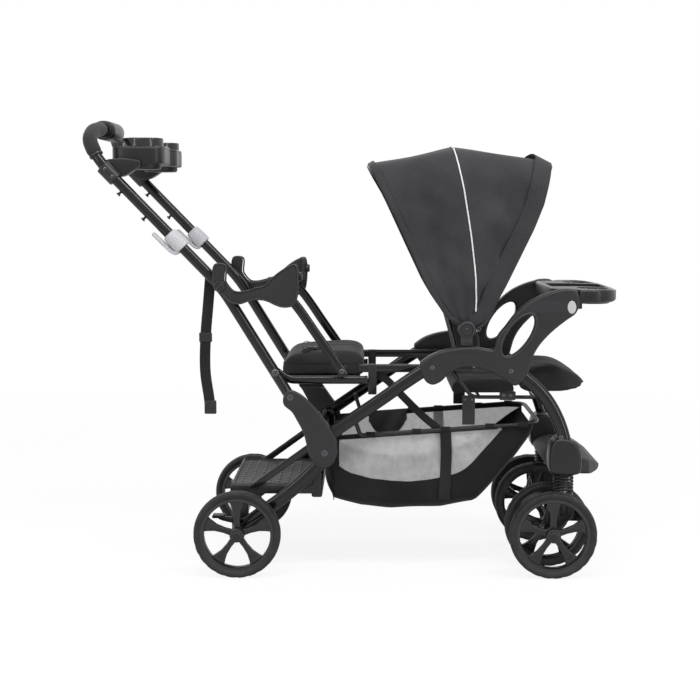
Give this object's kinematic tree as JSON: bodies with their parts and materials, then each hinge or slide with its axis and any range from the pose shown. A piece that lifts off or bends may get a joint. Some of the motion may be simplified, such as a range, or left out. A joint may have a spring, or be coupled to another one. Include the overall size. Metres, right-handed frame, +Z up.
{
  "type": "sit and stand stroller",
  "caption": "Sit and stand stroller with a canopied front seat, a rear bench and standing platform, a fold-down handle, parent and child trays, a mesh basket and swivelling twin front wheels.",
  "frame": {"origin": "on the ground under the middle of the overall length, on the centre plane", "axes": "+X the way it travels, +Z up, the right-hand side at -Y"},
  "size_m": [1.2537, 0.5506, 1.061],
  "materials": {
    "black_tube": "gloss black powder coat",
    "charcoal_plastic": "fine grained charcoal plastic",
    "black_plastic": "satin black plastic",
    "grey_plastic": "satin grey plastic",
    "pale_plastic": "pale lavender grey plastic",
    "deck_grey": "textured dark grey plastic",
    "tyre": "foamed black tyre on a black spoked wheel",
    "foam": "soft foam",
    "fabric": "woven charcoal cloth",
    "mesh_fabric": "open grey mesh over black cloth",
    "webbing": "black woven webbing"
  },
  "bodies": {
    "frame": {"main_tube_right": "black_tube", "main_tube_left": "black_tube", "armrest_right": "charcoal_plastic", "armrest_left": "charcoal_plastic", "rear_cover_right": "charcoal_plastic", "rear_cover_left": "charcoal_plastic", "front_housing_right": "black_plastic", "front_housing_left": "black_plastic", "front_footrest": "deck_grey", "seat_frame": "black_tube", "basket_rail": "black_tube", "basket_tub": "mesh_fabric", "basket_back": "fabric", "seat_pad": "fabric", "calf_rest": "fabric", "canopy_hub_right": "charcoal_plastic", "canopy_hub_left": "charcoal_plastic", "canopy_rear_bow": "black_plastic", "canopy_rear_panel": "fabric"},
    "backrest": {"backrest": "fabric"},
    "canopy_mid": {"canopy_mid_bow": "black_plastic", "canopy_front_panel": "fabric"},
    "canopy_front": {"canopy_front_bow": "black_plastic"},
    "child_tray": {"child_tray": "black_plastic"},
    "handle": {"handle_tube": "black_tube", "handle_grip_right": "foam", "handle_grip_left": "foam", "handle_hub": "black_plastic", "parent_tray": "black_plastic", "tether_strap": "webbing"},
    "cradle": {"cradle_bracket_right": "charcoal_plastic", "cradle_bracket_left": "charcoal_plastic"},
    "supports": {"support_tube_right": "black_tube", "support_tube_left": "black_tube"},
    "bench": {"bench_frame": "black_tube", "bench_cushion": "fabric"},
    "rear_legs": {"rear_leg_right": "black_tube", "rear_leg_left": "black_tube", "rear_platform": "deck_grey", "rear_axle": "black_tube"},
    "tray_button_right": {"tray_button_right": "grey_plastic"},
    "fold_trigger_right": {"fold_trigger_right": "pale_plastic"},
    "brake_pedal_right": {"brake_pedal_right": "black_plastic"},
    "rear_wheel_right": {"rear_rim_right": "black_plastic", "rear_tyre_right": "tyre"},
    "caster_right": {"swivel_stem_right": "black_plastic", "front_spring_right": "black_plastic"},
    "fork_right": {"front_fork_right": "black_plastic"},
    "front_wheel_outer_right": {"front_wheel_outer_right": "tyre"},
    "front_wheel_inner_right": {"front_wheel_inner_right": "tyre"},
    "tray_button_left": {"tray_button_left": "grey_plastic"},
    "fold_trigger_left": {"fold_trigger_left": "pale_plastic"},
    "brake_pedal_left": {"brake_pedal_left": "black_plastic"},
    "rear_wheel_left": {"rear_rim_left": "black_plastic", "rear_tyre_left": "tyre"},
    "caster_left": {"swivel_stem_left": "black_plastic", "front_spring_left": "black_plastic"},
    "fork_left": {"front_fork_left": "black_plastic"},
    "front_wheel_outer_left": {"front_wheel_outer_left": "tyre"},
    "front_wheel_inner_left": {"front_wheel_inner_left": "tyre"}
  },
  "joints": [
    {"name": "handle_fold", "type": "hinge", "parent": "frame", "child": "handle", "pos_m": [-0.15065, 0, 0.422], "axis": [0, 1, 0], "range_deg": [0, 36]},
    {"name": "cradle_level", "type": "hinge", "parent": "handle", "child": "cradle", "pos_m": [-0.30995, 0, 0.677], "axis": [0, 1, 0], "range_deg": [-36, 0]},
    {"name": "bench_level", "type": "hinge", "parent": "handle", "child": "bench", "pos_m": [-0.18295, 0, 0.4755], "axis": [0, 1, 0], "range_deg": [-36, 0]},
    {"name": "support_swing", "type": "hinge", "parent": "bench", "child": "supports", "pos_m": [-0.02865, 0, 0.478], "axis": [0, 1, 0], "range_deg": [0, 36]},
    {"name": "rear_leg_fold", "type": "hinge", "parent": "frame", "child": "rear_legs", "pos_m": [-0.07124, 0, 0.32077], "axis": [0, -1, 0], "range_deg": [0, 21.6], "deforming": ["basket_back"]},
    {"name": "backrest_recline", "type": "hinge", "parent": "frame", "child": "backrest", "pos_m": [0.26282, 0, 0.47684], "axis": [0, -1, 0], "range_deg": [0, 30]},
    {"name": "canopy_mid_fold", "type": "hinge", "parent": "frame", "child": "canopy_mid", "pos_m": [0.26032, 0, 0.57558], "axis": [0, -1, 0], "range_deg": [0, 20], "deforming": ["canopy_rear_panel"]},
    {"name": "canopy_front_fold", "type": "hinge", "parent": "canopy_mid", "child": "canopy_front", "pos_m": [0.26032, 0, 0.57558], "axis": [0, -1, 0], "range_deg": [0, 25], "deforming": ["canopy_front_panel"]},
    {"name": "tray_slide", "type": "slide", "parent": "frame", "child": "child_tray", "axis": [1, 0, 0], "range_m": [0, 0.05]},
    {"name": "tray_button_press_right", "type": "slide", "parent": "frame", "child": "tray_button_right", "axis": [0, 1, 0], "range_m": [0, 0.003], "stiffness_N_per_m": 400, "springref_m": -0.004},
    {"name": "fold_trigger_pull_right", "type": "slide", "parent": "handle", "child": "fold_trigger_right", "axis": [-0.6961, 0, 0.718], "range_m": [0, 0.016], "stiffness_N_per_m": 500, "springref_m": -0.01},
    {"name": "brake_pedal_press_right", "type": "hinge", "parent": "rear_legs", "child": "brake_pedal_right", "pos_m": [-0.27365, -0.215, 0.126], "axis": [0, -1, 0], "range_deg": [0, 25]},
    {"name": "rear_wheel_spin_right", "type": "hinge", "parent": "rear_legs", "child": "rear_wheel_right", "pos_m": [-0.27165, -0.253, 0.1015], "axis": [0, 1, 0], "continuous": true},
    {"name": "caster_swivel_right", "type": "hinge", "parent": "frame", "child": "caster_right", "pos_m": [0.49135, -0.193, 0.2], "axis": [0, 0, 1], "continuous": true},
    {"name": "suspension_right", "type": "slide", "parent": "caster_right", "child": "fork_right", "axis": [0, 0, 1], "range_m": [0, 0.012], "stiffness_N_per_m": 6000, "springref_m": -0.03, "deforming": ["front_spring_right"]},
    {"name": "front_wheel_outer_spin_right", "type": "hinge", "parent": "fork_right", "child": "front_wheel_outer_right", "pos_m": [0.46135, -0.253, 0.1015], "axis": [0, 1, 0], "continuous": true},
    {"name": "front_wheel_inner_spin_right", "type": "hinge", "parent": "fork_right", "child": "front_wheel_inner_right", "pos_m": [0.46135, -0.133, 0.1015], "axis": [0, 1, 0], "continuous": true},
    {"name": "tray_button_press_left", "type": "slide", "parent": "frame", "child": "tray_button_left", "axis": [0, -1, 0], "range_m": [0, 0.003], "stiffness_N_per_m": 400, "springref_m": -0.004},
    {"name": "fold_trigger_pull_left", "type": "slide", "parent": "handle", "child": "fold_trigger_left", "axis": [-0.6961, 0, 0.718], "range_m": [0, 0.016], "stiffness_N_per_m": 500, "springref_m": -0.01},
    {"name": "brake_pedal_press_left", "type": "hinge", "parent": "rear_legs", "child": "brake_pedal_left", "pos_m": [-0.27365, 0.215, 0.126], "axis": [0, -1, 0], "range_deg": [0, 25]},
    {"name": "rear_wheel_spin_left", "type": "hinge", "parent": "rear_legs", "child": "rear_wheel_left", "pos_m": [-0.27165, 0.253, 0.1015], "axis": [0, 1, 0], "continuous": true},
    {"name": "caster_swivel_left", "type": "hinge", "parent": "frame", "child": "caster_left", "pos_m": [0.49135, 0.193, 0.2], "axis": [0, 0, 1], "continuous": true},
    {"name": "suspension_left", "type": "slide", "parent": "caster_left", "child": "fork_left", "axis": [0, 0, 1], "range_m": [0, 0.012], "stiffness_N_per_m": 6000, "springref_m": -0.03, "deforming": ["front_spring_left"]},
    {"name": "front_wheel_outer_spin_left", "type": "hinge", "parent": "fork_left", "child": "front_wheel_outer_left", "pos_m": [0.46135, 0.253, 0.1015], "axis": [0, 1, 0], "continuous": true},
    {"name": "front_wheel_inner_spin_left", "type": "hinge", "parent": "fork_left", "child": "front_wheel_inner_left", "pos_m": [0.46135, 0.133, 0.1015], "axis": [0, 1, 0], "continuous": true}
  ],
  "couplings": [
    {"joint": "cradle_level", "follows": "handle_fold", "ratio": -1},
    {"joint": "bench_level", "follows": "handle_fold", "ratio": -1},
    {"joint": "support_swing", "follows": "handle_fold", "ratio": 1},
    {"joint": "rear_leg_fold", "follows": "handle_fold", "ratio": 0.6},
    {"joint": "canopy_front_fold", "follows": "canopy_mid_fold", "ratio": 1.25}
  ]
}
